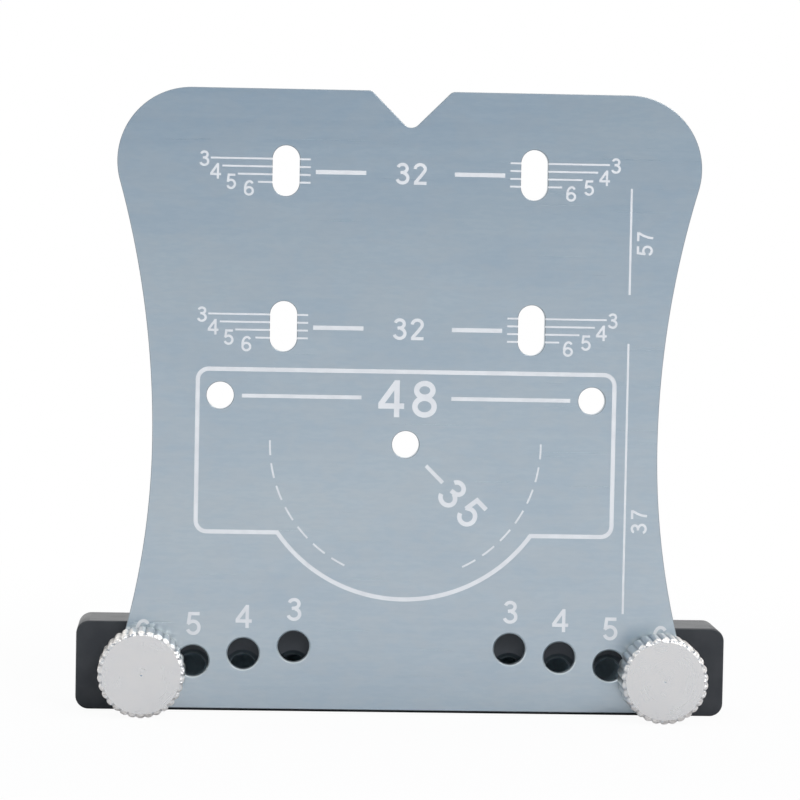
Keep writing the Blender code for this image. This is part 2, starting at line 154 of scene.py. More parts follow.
class Finish(Nodes):
    """A material: its Principled shader, and the place of each point on the finished piece."""

    def __init__(self, name, colour, roughness, metallic=0.0):
        self.material = bpy.data.materials.new(name)
        self.material.use_nodes = True
        super().__init__(self.material.node_tree)
        self.shader = self.tree.nodes["Principled BSDF"]
        self.place = self.add("ShaderNodeTexCoord", output="Object")
        self.feed({"Base Color": colour, "Roughness": roughness, "Metallic": metallic})

    def feed(self, values):
        for name, value in values.items():
            self.join(value, self.shader.inputs[name])

    def grain(self, per_metre, detail=3.0, offset=(0, 0, 0)):
        """Noise with so many cells to the metre along each axis."""
        shift = {"Vector": self.place, "Location": offset, "Scale": per_metre}
        sockets = {"Vector": self.add("ShaderNodeMapping", None, shift), "Scale": 1.0, "Detail": detail}
        return self.add("ShaderNodeTexNoise", None, sockets)

    def kept(self, name):
        return self.add("ShaderNodeAttribute", {"attribute_name": name}, None, "Fac")

    def bump(self, height, distance, strength=1.0):
        return self.add("ShaderNodeBump", None, {"Height": height, "Distance": distance, "Strength": strength})


def arc(centre, radius, start, end, steps):
    """Points on an arc of a drawing, angles in degrees, both ends included."""
    angles = [math.radians(start + (end - start) * i / steps) for i in range(steps + 1)]
    return [(centre[0] + radius * math.cos(a), centre[1] + radius * math.sin(a)) for a in angles]


def round_hole(x, z, radius):
    return arc((x, z), radius, 360, 0, HOLE_STEPS)[:-1]


def draw(curve, points):
    """Adds a closed outline to a drawing."""
    line = curve.splines.new("POLY")
    line.points.add(len(points) - 1)
    for point, (x, y) in zip(line.points, points):
        point.co = (x, y, 0, 1)
    line.use_cyclic_u = True


def solid_from(curve, name, y):
    """Stands a flat drawing up at a depth y, as a closed mesh with its faces turned out."""
    holder = bpy.data.objects.new(name, curve)
    bpy.context.scene.collection.objects.link(holder)
    bpy.context.view_layer.update()
    mesh = bpy.data.meshes.new_from_object(holder.evaluated_get(bpy.context.evaluated_depsgraph_get()))
    bpy.data.objects.remove(holder)
    shape = bmesh.new()
    shape.from_mesh(mesh)
    bmesh.ops.remove_doubles(shape, verts=shape.verts, dist=WELD)
    bmesh.ops.rotate(shape, verts=shape.verts, matrix=Matrix.Rotation(math.radians(90), 3, "X"))
    bmesh.ops.translate(shape, verts=shape.verts, vec=(0, y, 0))
    bmesh.ops.recalc_face_normals(shape, faces=shape.faces)
    shape.to_mesh(mesh)
    shape.free()
    mesh.name = name
    piece = bpy.data.objects.new(name, mesh)
    bpy.context.scene.collection.objects.link(piece)
    return piece


def cut_sheet(name, outlines, thickness, front, edge):
    """A flat piece, front to -Y. The first outline is its rim and the others are holes, edges rounded."""
    drawing = bpy.data.curves.new(name, "CURVE")
    drawing.dimensions = "2D"
    drawing.fill_mode = "BOTH"
    drawing.extrude = thickness / 2 - edge
    drawing.bevel_depth = edge
    drawing.bevel_resolution = 2
    drawing.offset = -edge
    for points in outlines:
        draw(drawing, points)
    return solid_from(drawing, name, front + thickness / 2)


def cut_with(piece, tools, operation="DIFFERENCE"):
    """Cuts a piece with other pieces, and leaves the result as its own closed mesh without slivers."""
    kit = bpy.data.collections.new("tools")
    for tool in tools:
        kit.objects.link(tool)
    cut = piece.modifiers.new("cut", "BOOLEAN")
    cut.operation = operation
    cut.solver = "EXACT"
    cut.use_self = True
    cut.operand_type = "COLLECTION"
    cut.collection = kit
    bpy.context.view_layer.update()
    made = piece.evaluated_get(bpy.context.evaluated_depsgraph_get())
    piece.data = bpy.data.meshes.new_from_object(made)
    piece.modifiers.clear()
    bpy.data.collections.remove(kit)
    shape = bmesh.new()
    shape.from_mesh(piece.data)
    bmesh.ops.remove_doubles(shape, verts=shape.verts, dist=WELD)
    bmesh.ops.dissolve_degenerate(shape, edges=shape.edges, dist=WELD)
    shape.to_mesh(piece.data)
    shape.free()


def mark_faces(piece, name, share_of):
    """Keeps a share from 0 to 1 on each face, which the piece's finish reads by name."""
    shares = [share_of(face) for face in piece.data.polygons]
    piece.data.attributes.new(name, "FLOAT", "FACE").data.foreach_set("value", shares)


def shade(piece, material, flat_axes="Y"):
    """Gives a machined piece its finish: rounded edges smooth, faces square to the named axes flat."""
    piece.data.materials.clear()
    piece.data.materials.append(material)
    piece.data.set_sharp_from_angle(angle=math.radians(SHARP_DEGREES))
    for face in piece.data.polygons:
        face.use_smooth = all(abs(face.normal["XYZ".index(axis)]) < SQUARE_ON for axis in flat_axes)


def side_and_corner(corner_radius, edge_z):
    """Points from the waist along the hollow side and round a corner to a flat edge, on the +X side."""
    up = 1 if edge_z > WAIST_Z else -1
    corner = (PLATE_HALF - corner_radius, edge_z - up * corner_radius)
    rise, inwards = abs(corner[1] - WAIST_Z), corner_radius - WAIST_INSET
    radius = (inwards**2 + rise**2 - corner_radius**2) / (2 * (corner_radius - inwards))
    turn = math.degrees(math.asin(rise / (radius + corner_radius)))
    side = arc((PLATE_HALF - WAIST_INSET + radius, WAIST_Z), radius, 180, 180 - up * turn, CORNER_STEPS)
    return side + arc(corner, corner_radius, -up * turn, up * 90, CORNER_STEPS)[1:]


def notch():
    """The V notch from its right lip to its left lip, with a rounded root and rounded lips."""
    lip = (NOTCH_HALF + NOTCH_LIP * math.tan(math.radians(22.5)), PLATE_TOP - NOTCH_LIP)
    root = (0, PLATE_TOP - NOTCH_HALF + NOTCH_ROOT * math.sqrt(2))
    right = arc(lip, NOTCH_LIP, 90, 135, 6) + arc(root, NOTCH_ROOT, -45, -90, 8)
    return right + [(-x, z) for x, z in reversed(right[:-1])]


def line_z(setback, setting):
    """Height of a line at a setback from the door's edge, for one setting of the fence."""
    return CUP_Z - CUP_RADIUS + setback - setting


def plate_drawing():
    right = list(reversed(side_and_corner(FOOT_RADIUS, PLATE_FOOT)))
    right += side_and_corner(SHOULDER_RADIUS, PLATE_TOP)[1:]
    outlines = [right + notch() + [(-x, z) for x, z in reversed(right)]]
    outlines.append(round_hole(0, CUP_Z, PILOT_RADIUS))
    for side in (-1, 1):
        outlines.append(round_hole(side * HINGE_SCREW_X, CUP_Z + HINGE_SCREW_RISE, PILOT_RADIUS))
        for setback in SETBACKS:
            x, low, high = side * PLATE_SLOT_X, line_z(setback, SETTINGS[-1]), line_z(setback, SETTINGS[0])
            upper = arc((x, high), PILOT_RADIUS, 180, 0, HOLE_STEPS // 2)
            outlines.append(upper + arc((x, low), PILOT_RADIUS, 0, -180, HOLE_STEPS // 2))
        for hole_x, setting in zip(FENCE_HOLE_X, SETTINGS):
            outlines.append(round_hole(side * hole_x, line_z(0, setting) - FENCE_TO_SCREWS, FENCE_HOLE_RADIUS))
    return outlines


def brushed_steel():
    """Stainless sheet: long fine brush lines from side to side, and a faint uneven film over them."""
    steel = Finish("brushed_steel", STEEL_COLOUR, 0.36, 1.0)
    fine = steel.grain((45, 5000, 9000), 4.0)
    streaks = steel.grain((16, 900, 900), 3.0, (3, 1, 7))
    film = steel.grain((70, 70, 160), 4.0, (11, 5, 2))
    cloud = steel.grain((28, 28, 45), 3.0, (2, 8, 5))
    tone = steel.ramp(film * 0.55 + streaks * 0.45, 0.36, 0.64)
    colour = steel.mix(tone, STEEL_DARK, STEEL_COLOUR)
    colour = steel.mix(steel.ramp(cloud, 0.48, 0.70) * 0.6, colour, STEEL_WARM)
    flecks = steel.ramp(steel.grain((620, 620, 2400), 3.0, (7, 2, 9)), 0.36, 0.64)
    hues = steel.ramp(steel.grain((260, 260, 520), 3.0, (1, 6, 4)), 0.40, 0.62)
    colour = steel.mix(flecks * 0.22, colour, FLECK_COLOUR)
    colour = steel.mix(hues * 0.30, colour, PATCH_COLOUR)
    rim, wall = steel.kept("rim"), steel.kept("wall")
    colour = steel.mix(wall, steel.mix(rim, colour, RIM_COLOUR), WALL_COLOUR)
    roughness = 0.24 + 0.06 * fine + 0.04 * streaks + 0.08 * rim + 0.34 * wall
    steel.feed({"Base Color": colour, "Roughness": roughness})
    steel.feed({"Normal": steel.bump(fine * 0.7 + streaks * 0.3, 0.000004)})
    return steel.material


def edge_breaker():
    """The cones that take the front edge off the fence holes, as one cutter."""
    whole = bmesh.new()
    depth = BREAK_WIDTH + BREAK_INTO + BREAK_ABOVE
    middle = PLATE_FRONT + (BREAK_WIDTH + BREAK_INTO - BREAK_ABOVE) / 2
    for hole_x, setting in zip(FENCE_HOLE_X, SETTINGS):
        for side in (-1, 1):
            place = Matrix.Translation((side * hole_x, middle, line_z(0, setting) - FENCE_TO_SCREWS))
            inner, outer = FENCE_HOLE_RADIUS - BREAK_INTO, FENCE_HOLE_RADIUS + BREAK_WIDTH + BREAK_ABOVE
            turned = place @ Matrix.Rotation(math.radians(90), 4, "X")
            cone = {"radius1": inner, "radius2": outer, "depth": depth, "matrix": turned}
            bmesh.ops.create_cone(whole, cap_ends=True, segments=HOLE_STEPS, **cone)
    mesh = bpy.data.meshes.new("edge_breaker")
    whole.to_mesh(mesh)
    whole.free()
    return bpy.data.objects.new("edge_breaker", mesh)


def broken_edge(face):
    """Whether a face is on the bevel round the plate and its openings, apart from the fence holes."""
    for hole_x, setting in zip(FENCE_HOLE_X, SETTINGS):
        drop = face.center.z - line_z(0, setting) + FENCE_TO_SCREWS
        if math.hypot(abs(face.center.x) - hole_x, drop) < FENCE_HOLE_RADIUS + 2 * BREAK_WIDTH:
            return 0.0
    return float(EDGE_ON <= abs(face.normal.y) < FACE_ON)


plate = cut_sheet("plate", plate_drawing(), PLATE_THICKNESS, PLATE_FRONT, PLATE_EDGE)
breaker = edge_breaker()
cut_with(plate, [breaker])
bpy.data.objects.remove(breaker)
steel = brushed_steel()


# The marks: the drilling pattern of a cup hinge, the settings and their spacings in millimetres. They are
# engraved 0.12 mm deep in the plate's front and filled almost level with white enamel.
MARK_DEPTH = 0.00012
FILL_BELOW = 0.000012
STROKE_SHARE = 0.148
OUTLINE_LINE = 0.00055
LABEL_LINE = 0.0005
RULE_LINE = 0.00028
LEADER_LINE = 0.00024
HINGE_TEXT, CUP_TEXT, SPACING_TEXT = 0.00478, 0.0040, 0.0028
FENCE_TEXT, RULE_TEXT, SLOT_TEXT = 0.0030, 0.0021, 0.0020
FLANGE_HALF, FLANGE_CORNER = 0.0269, 0.0014
FLANGE_ABOVE_SCREWS, FLANGE_BELOW_CUP = 0.0034, 0.0116
BULGE_RADIUS = 0.02007
DASH_PITCH, DASH, DASH_START = 9.8, 6.4, -1.0
TICK, TICK_LAP = 0.0015, 0.0001
FENCE_TEXT_RISE = 0.00485
RULE_X, RULE_TEXT_X = 0.0286, 0.03045
ENAMEL_COLOUR = (0.92, 0.945, 0.97, 1)
ENAMEL_DULL = (0.86, 0.885, 0.915, 1)


def oval(cx, cz, rx, rz, start, end):
    """Points on part of an ellipse, angles in degrees."""
    steps = max(6, round(abs(end - start) / 9))
    return [(cx + rx * x, cz + rz * z) for x, z in arc((0, 0), 1, start, end, steps)]


def numeral(digit):
    """A plain numeral one unit high: its width, and its strokes as (points, closed)."""
    low, high = STROKE_SHARE / 2, 1 - STROKE_SHARE / 2
    if digit == 2:
        curve = oval(0.31, 0.72, 0.23, high - 0.72, 180, -30) + [(0.36, 0.42), (0.09, 0.10)]
        return 0.62, [(curve, False), ([(0.03, low), (0.61, low)], False)]
    if digit == 3:
        upper = oval(0.30, 0.74, 0.21, high - 0.74, 165, -90) + [(0.20, 0.54)]
        return 0.62, [(upper, False), (oval(0.30, 0.30, 0.25, 0.30 - low, 80, -165), False)]
    if digit == 4:
        arm = [(0.48, 0.93), (0.075, 0.36), (0.075, 0.304), (0.70, 0.304)]
        return 0.70, [([(0.50, 0), (0.50, 1)], False), (arm, False)]
    if digit == 5:
        neck = [(0.58, high), (0.16, high), (0.10, 0.47)]
        bowl = [(0.07, 0.49)] + oval(0.31, 0.335, 0.25, 0.335 - low, 120, -160)
        return 0.62, [(neck, False), (bowl, False)]
    if digit == 6:
        bowl = oval(0.32, 0.31, 0.25, 0.31 - low, 0, 360)[:-1]
        return 0.63, [(bowl, True), (oval(0.35, 0.47, 0.28, high - 0.47, 45, 185), False)]
    if digit == 7:
        leg = [(0.54, 0.92), (0.36, 0.60), (0.26, 0.30), (0.22, 0)]
        return 0.60, [([(0.03, high), (0.58, high)], False), (leg, False)]
    upper = oval(0.33, 0.74, 0.22, high - 0.74, 0, 360)[:-1]
    return 0.66, [(upper, True), (oval(0.33, 0.30, 0.26, 0.30 - low, 0, 360)[:-1], True)]


def label(number, centre, height, turn=0.0, pitch=0.86):
    """Strokes that write a number about a point, turned anticlockwise by degrees."""
    cos, sin = math.cos(math.radians(turn)), math.sin(math.radians(turn))
    found = []
    for place, letter in enumerate(str(number)):
        width, strokes = numeral(int(letter))
        shift = (place - (len(str(number)) - 1) / 2) * pitch - width / 2
        for points, closed in strokes:
            flat = [((x + shift) * height, (z - 0.5) * height) for x, z in points]
            turned = [(centre[0] + x * cos - z * sin, centre[1] + x * sin + z * cos) for x, z in flat]
            found.append((turned, closed, STROKE_SHARE * height))
    return found


def level_pair(x0, x1, z, line):
    """A level line and its mirror image on the other side of the plate."""
    return [([(side * x0, z), (side * x1, z)], False, line) for side in (-1, 1)]


def hinge_marks():
    """The hinge's flange with its cup bulging below, its screws' spacing and the cup's edge and size."""
    corner, row = FLANGE_CORNER, CUP_Z + HINGE_SCREW_RISE
    x, top, low = FLANGE_HALF - corner, row + FLANGE_ABOVE_SCREWS - corner, CUP_Z - FLANGE_BELOW_CUP + corner
    right = arc((x, low), corner, -90, 0, 10) + arc((x, top), corner, 0, 90, 10)
    meeting = math.degrees(math.asin(FLANGE_BELOW_CUP / BULGE_RADIUS))
    cup = arc((0, CUP_Z), BULGE_RADIUS, meeting - 180, -meeting, 80)
    marks = [(right + [(-px, pz) for px, pz in reversed(right)] + cup, True, OUTLINE_LINE)]
    for start in [DASH_PITCH * i + DASH_START for i in range(7)]:
        for angles in ((-start, -start - DASH), (180 + start, 180 + DASH + start)):
            marks.append((arc((0, CUP_Z), CUP_RADIUS, *angles, 8), False, LEADER_LINE))
    marks += level_pair(0.0058, 0.0212, row, LABEL_LINE)
    marks += label(48, (0.0002, row - 0.0001), HINGE_TEXT, pitch=0.90)
    slant = math.sqrt(0.5)
    marks.append(([(r * slant, CUP_Z - r * slant) for r in (0.0038, 0.0069)], False, LABEL_LINE))
    return marks + label(35, (0.0074, CUP_Z - 0.0075), CUP_TEXT, turn=-45)


def slot_marks(setback):
    """A numbered line at each slot for every setting, and the slots' spacing between them."""
    edge, marks = PILOT_RADIUS - TICK_LAP, []
    ends = (0.0097, 0.0082, 0.0062, 0.0036)
    texts = (0.0105, 0.00905, 0.00705, 0.00475)
    drops = (0.0001, 0.0007, 0.0010, 0.0008)
    for setting, end, text, drop in zip(SETTINGS, ends, texts, drops):
        z = line_z(setback, setting)
        marks += level_pair(PLATE_SLOT_X + edge, PLATE_SLOT_X + end, z, LEADER_LINE)
        marks += level_pair(PLATE_SLOT_X - edge, PLATE_SLOT_X - edge - TICK, z, LEADER_LINE)
        for side in (-1, 1):
            marks += label(round(setting * 1000), (side * (PLATE_SLOT_X + text), z - drop), SLOT_TEXT)
    row = line_z(setback, sum(SETTINGS) / 4) - 0.0001
    marks += level_pair(0.0057, 0.0122, row, OUTLINE_LINE)
    return marks + label(32, (0.0001, row), SPACING_TEXT, pitch=0.80)


def fence_marks():
    """A number over each fence hole, and the two rules of the setbacks down the right side."""
    marks = []
    for x, setting in zip(FENCE_HOLE_X, SETTINGS):
        for side in (-1, 1):
            z = line_z(0, setting) - FENCE_TO_SCREWS + FENCE_TEXT_RISE
            marks += label(round(setting * 1000), (side * x, z), FENCE_TEXT)
    rules = (
        (37, line_z(-0.0011, SETTINGS[0]), line_z(SETBACKS[0], SETTINGS[-1]), 0.0055),
        (57, line_z(SETBACKS[0] + 0.0033, SETTINGS[0]), line_z(SETBACKS[1], SETTINGS[-1]), 0.0002),
    )
    for number, low, high, drop in rules:
        marks.append(([(RULE_X, low), (RULE_X, high)], False, RULE_LINE))
        marks += label(number, (RULE_TEXT_X, (low + high) / 2 - drop), RULE_TEXT, turn=90)
    return marks


def flat_pieces(points, closed, width):
    """A stroke as flat four-sided pieces, mitred where it turns."""
    path = [Vector(point) for point in points]
    edges = []
    for number, point in enumerate(path):
        near = []
        if closed or number:
            near.append((point - path[number - 1]).normalized().orthogonal())
        if closed or number < len(path) - 1:
            near.append((path[(number + 1) % len(path)] - point).normalized().orthogonal())
        across = sum(near, Vector((0, 0)))
        aside = across * (len(near) * width / 2 / across.length_squared)
        edges.append((point + aside, point - aside))
    pairs = zip(edges, edges[1:] + edges[:1] if closed else edges[1:])
    corners = [[*first, *second] for first, second in pairs]
    return [[piece[number] for number in convex_hull_2d(piece)] for piece in corners]


def outlines_of(marks):
    """The outlines of all the strokes taken together, so that those which cross become one shape."""
    points, pieces = [], []
    for stroke in marks:
        for piece in flat_pieces(*stroke):
            pieces.append(list(range(len(points), len(points) + len(piece))))
            points += piece
    places, _, faces, _, _, owners = delaunay_2d_cdt(points, [], pieces, 1, WELD)
    sides = set()
    for face, owner in zip(faces, owners):
        if owner:
            sides.update(zip(face, face[1:] + face[:1]))
    follow = {first: second for first, second in sorted(sides) if (second, first) not in sides}
    outlines = []
    while follow:
        loop = [next(iter(follow))]
        while loop[-1] in follow:
            loop.append(follow.pop(loop[-1]))
        outlines.append([tuple(places[number]) for number in loop[:-1]])
    return outlines


def white_enamel():
    """White filler, rubbed level: a little thinner and greyer in patches, with a fine matt grain."""
    enamel = Finish("white_filler", ENAMEL_COLOUR, 0.5)
    patches = enamel.ramp(enamel.grain((420, 420, 420), 3.0), 0.35, 0.65)
    enamel.feed({"Base Color": enamel.mix(patches, ENAMEL_DULL, ENAMEL_COLOUR)})
    enamel.feed({"Roughness": 0.42 + 0.16 * enamel.grain((3000, 3000, 3000), 2.0)})
    enamel.feed({"Normal": enamel.bump(enamel.grain((9000, 9000, 9000), 2.0), 0.000003)})
    return enamel.material


marks = hinge_marks() + slot_marks(SETBACKS[0]) + slot_marks(SETBACKS[1]) + fence_marks()
graver = cut_sheet("graver", outlines_of(marks), 2 * MARK_DEPTH, PLATE_FRONT - MARK_DEPTH, 0.0)
filling = bpy.data.objects.new("mark_filling", plate.data.copy())
bpy.context.scene.collection.objects.link(filling)
cut_with(plate, [graver])
cut_with(filling, [graver], "INTERSECT")
bpy.data.objects.remove(graver)
for vert in filling.data.vertices:
    if vert.co.y < PLATE_FRONT + FILL_BELOW:
        vert.co.y = PLATE_FRONT + FILL_BELOW
mark_faces(plate, "wall", lambda face: float(abs(face.normal.y) < EDGE_ON))
mark_faces(plate, "rim", broken_edge)
shade(plate, steel)
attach(plate, "guide_plate")
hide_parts("guide_plate")
shade(filling, white_enamel())
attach(filling, "guide_plate")


# The fence bar: a length of aluminium bar, milled square with rounded ends, blasted and anodised black. A
# row of eight blind holes is tapped M4 in its front, one for each fence hole of the plate.
BAR_HALF = 0.0421
BAR_LOW, BAR_HIGH = 0.0, 0.0115
BAR_FRONT, BAR_DEPTH = -0.0006, 0.010
BAR_CORNER = 0.0017
BAR_EDGE = 0.00018
SCREW_Z = 0.0056
TAPPED_DEPTH = 0.008
THREAD_PITCH = 0.0007
THREAD_ROOT, THREAD_CREST = 0.00160, 0.00195
THREAD_CLEARANCE = 0.00005
THREAD_STEPS = 6
ANODISED_COLOUR = (0.030, 0.033, 0.038, 1)
ANODISED_DARK, ANODISED_WORN = (0.026, 0.029, 0.034, 1), (0.036, 0.039, 0.044, 1)
TAP_STEPS = 48
# The tapped bores are painted lighter the deeper they go, from the dark mouth to a pale blue-grey: painted
# light in place of light that does not reach into the holes.
BORE_MOUTH, BORE_PAINTED_LIGHT = (0.034, 0.044, 0.052, 1), (0.62, 0.74, 0.80, 1)
COUNTERSINK = 0.0024
BORE_SLACK, BORE_PAINTED_LIGHT_DEPTH = 0.00002, 0.003


def bar_drawing():
    outline = []
    for x, z, start in ((1, 1, 0), (-1, 1, 90), (-1, -1, 180), (1, -1, 270)):
        middle, half = (BAR_LOW + BAR_HIGH) / 2, (BAR_HIGH - BAR_LOW) / 2
        centre = (x * (BAR_HALF - BAR_CORNER), middle + z * (half - BAR_CORNER))
        outline += arc(centre, BAR_CORNER, start, start + 90, 20)
    return outline


def thread_wave(angle, height):
    """From 0 at the root to 1 at the crest of a right-hand thread about a line that points out of the plate."""
    phase = (height / THREAD_PITCH - angle / math.tau) % 1.0
    return min(1.0, max(0.0, 1.25 - 2.5 * abs(phase - 0.5)))


def lathe(name, rings, sides, radius_at):
    """A closed piece turned about a line to -Y: each ring is the last one, grown out to its own radius."""
    shape = bmesh.new()
    verts = bmesh.ops.create_circle(shape, cap_ends=True, segments=sides, radius=0.001)["verts"]
    edges = list({edge for vert in verts for edge in vert.link_edges})
    for number, height in enumerate(rings):
        if number:
            grown = bmesh.ops.extrude_edge_only(shape, edges=edges)["geom"]
            verts = [part for part in grown if isinstance(part, bmesh.types.BMVert)]
            fresh = set(verts)
            edges = [p for p in grown if isinstance(p, bmesh.types.BMEdge) and fresh.issuperset(p.verts)]
        for vert in verts:
            angle = math.atan2(vert.co.y, vert.co.x)
            radius = radius_at(number, angle, height)
            vert.co = (radius * math.cos(angle), radius * math.sin(angle), height)
    bmesh.ops.edgeloop_fill(shape, edges=edges)
    bmesh.ops.recalc_face_normals(shape, faces=shape.faces)
    mesh = bpy.data.meshes.new(name)
    shape.to_mesh(mesh)
    shape.free()
    return mesh


def placed(mesh, name, x, y):
    """A piece from a lathe's mesh, its line pointing to -Y from a seat at a depth y."""
    piece = bpy.data.objects.new(name, mesh.copy())
    piece.data.transform(Matrix.Translation((x, y, SCREW_Z)) @ Matrix.Rotation(math.radians(90), 4, "X"))
    bpy.context.scene.collection.objects.link(piece)
    return piece


def tap():
    """What a drill and a tap take out of the bar: a point, a thread and a small countersink."""
    seat = PLATE_FRONT - BAR_FRONT
    point = THREAD_ROOT / math.tan(math.radians(59))
    count = round(TAPPED_DEPTH / THREAD_PITCH * THREAD_STEPS)
    rings = [seat - TAPPED_DEPTH - point, seat - TAPPED_DEPTH]
    rings += [seat - TAPPED_DEPTH + TAPPED_DEPTH * i / count for i in range(1, count)] + [seat + 0.0005]

    def radius_at(number, angle, height):
        if number == 0:
            return 0.00002
        wave = thread_wave(angle, height) if number > 1 else 0.0
        cut = THREAD_ROOT + THREAD_CLEARANCE + (THREAD_CREST - THREAD_ROOT) * wave
        return max(cut, COUNTERSINK + height - seat) if height < seat + 0.0001 else COUNTERSINK + 0.0005

    return lathe("tap", rings, TAP_STEPS, radius_at)


def black_anodising():
    """Blasted and anodised aluminium: a fine even grain, with handling marks in its sheen."""
    black = Finish("black_anodised", ANODISED_COLOUR, 0.42)
    grain = black.grain((9000, 9000, 9000), 3.0)
    wear = black.ramp(black.grain((300, 300, 300), 4.0), 0.40, 0.66)
    outside = black.mix(wear, ANODISED_DARK, ANODISED_WORN)
    bore = black.kept("bore")
    # Painted light in the bores: the colour grows paler with depth into each tapped hole.
    bore_painted_light = black.mix(black.ramp(bore, 0.2, 1.0), BORE_MOUTH, BORE_PAINTED_LIGHT)
    black.feed({"Base Color": black.mix(black.ramp(bore, 0.0, 0.1), outside, bore_painted_light)})
    black.feed({"Roughness": 0.36 + 0.08 * grain + 0.05 * wear})
    black.feed({"Normal": black.bump(grain, 0.000008)})
    return black.material


bar = cut_sheet("bar", [bar_drawing()], BAR_DEPTH, BAR_FRONT, BAR_EDGE)
tap_mesh = tap()
taps = []
for number, x in enumerate([side * x for x in FENCE_HOLE_X for side in (-1, 1)]):
    taps.append(placed(tap_mesh, f"tap_{number}", x, PLATE_FRONT))
cut_with(bar, taps)
for used in taps:
    bpy.data.objects.remove(used)


def in_bore(face):
    """How deep in a tapped hole a face lies: 0 outside, 0.1 at the mouth, 1 from 2.7 mm down, where the light
    painted into the bore is full.
    """
    corners = [bar.data.vertices[number].co for number in face.vertices]
    for hole_x in FENCE_HOLE_X:
        reach = max(math.hypot(abs(corner.x) - hole_x, corner.z - SCREW_Z) for corner in corners)
        if reach < COUNTERSINK + BORE_SLACK and face.center.y > BAR_FRONT + BORE_SLACK:
            return min(1.0, 0.1 + (face.center.y - BAR_FRONT) / BORE_PAINTED_LIGHT_DEPTH)
    return 0.0


mark_faces(bar, "bore", in_bore)
shade(bar, black_anodising(), "XYZ")
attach(bar, "fence_bar")
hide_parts("fence_bar")


# The thumb screws: two like screws turned from brass bar and nickel plated, with a straight knurl round
# the head, a collar that bears on the plate and an M4 thread. The left and right ones draw the bar up.
HEAD_RADIUS = 0.0056
KNURL_TEETH = 30
KNURL_DEPTH = 0.00025
HEAD_CHAMFER = 0.0005
COLLAR_RADIUS, COLLAR_HEIGHT = 0.0040, 0.0010
HEAD_TOP = 0.0072
SHANK_LENGTH = 0.0080
SEAT_GAP = 0.00005
NICKEL_COLOUR = (0.92, 0.89, 0.855, 1)
NICKEL_DULL = (0.897, 0.868, 0.833, 1)
# The knurl's grooves are painted darker towards their roots: painted shade between the teeth.
GROOVE_PAINTED_SHADE = (0.20, 0.20, 0.21, 1)
STEPS_PER_TOOTH = 8
THREAD_END, TIP_RADIUS = 0.0004, 0.0012
FACE_RING, DIMPLE_RADIUS = 0.0030, 0.00022


def screw_mesh():
    """Rings from the tip of the thread to the middle of the face."""
    neck, tip = -THREAD_END, THREAD_CREST - THREAD_END
    count = round((SHANK_LENGTH + neck) / THREAD_PITCH * THREAD_STEPS)
    shank = [(-SHANK_LENGTH, "tip", TIP_RADIUS), (-SHANK_LENGTH, "tip", tip)]
    threaded = SHANK_LENGTH + neck
    shank += [(-SHANK_LENGTH + threaded * i / count, "thread", 0) for i in range(1, count + 1)]
    foot = COLLAR_HEIGHT
    head = [(neck + 0.0001, "plain", THREAD_ROOT + 0.0001), (0, "plain", THREAD_ROOT + 0.00015)]
    head += [(0, "plain", COLLAR_RADIUS - 0.00012), (0.00004, "plain", COLLAR_RADIUS - 0.00004)]
    head += [(0.00012, "plain", COLLAR_RADIUS), (foot, "plain", COLLAR_RADIUS)]
    head += [(foot, "plain", HEAD_RADIUS - HEAD_CHAMFER)]
    head += [(foot + HEAD_CHAMFER * i / 4, "knurl", 0) for i in (1, 2, 3, 4)]
    head += [(HEAD_TOP - HEAD_CHAMFER * i / 4, "knurl", 0) for i in (4, 3, 2, 1)]
    head += [(HEAD_TOP - 0.00003, "plain", HEAD_RADIUS - HEAD_CHAMFER - 0.00001)]
    head += [(HEAD_TOP, "plain", HEAD_RADIUS - HEAD_CHAMFER - 0.00008)]
    head += [(HEAD_TOP, "plain", FACE_RING), (HEAD_TOP, "plain", DIMPLE_RADIUS)]
    head += [(HEAD_TOP - 0.00002, "plain", 0.00017), (HEAD_TOP - 0.00004, "plain", 0.00002)]
    plan = shank + head

    def radius_at(number, angle, height):
        _, kind, radius = plan[number]
        if kind == "thread":
            cut = THREAD_ROOT + (THREAD_CREST - THREAD_ROOT) * thread_wave(angle, height)
            return min(cut, tip + height + SHANK_LENGTH)
        if kind == "knurl":
            tooth = abs(math.sin(angle * KNURL_TEETH / 2)) ** 0.9
            ends = min(height - COLLAR_HEIGHT, HEAD_TOP - height)
            short = HEAD_CHAMFER - min(ends, HEAD_CHAMFER)
            domed = HEAD_RADIUS - HEAD_CHAMFER + math.sqrt(HEAD_CHAMFER**2 - short**2)
            return min(HEAD_RADIUS - KNURL_DEPTH * (1 - tooth), domed)
        return radius

    return lathe("screw", [height for height, _, _ in plan], KNURL_TEETH * STEPS_PER_TOOTH, radius_at)


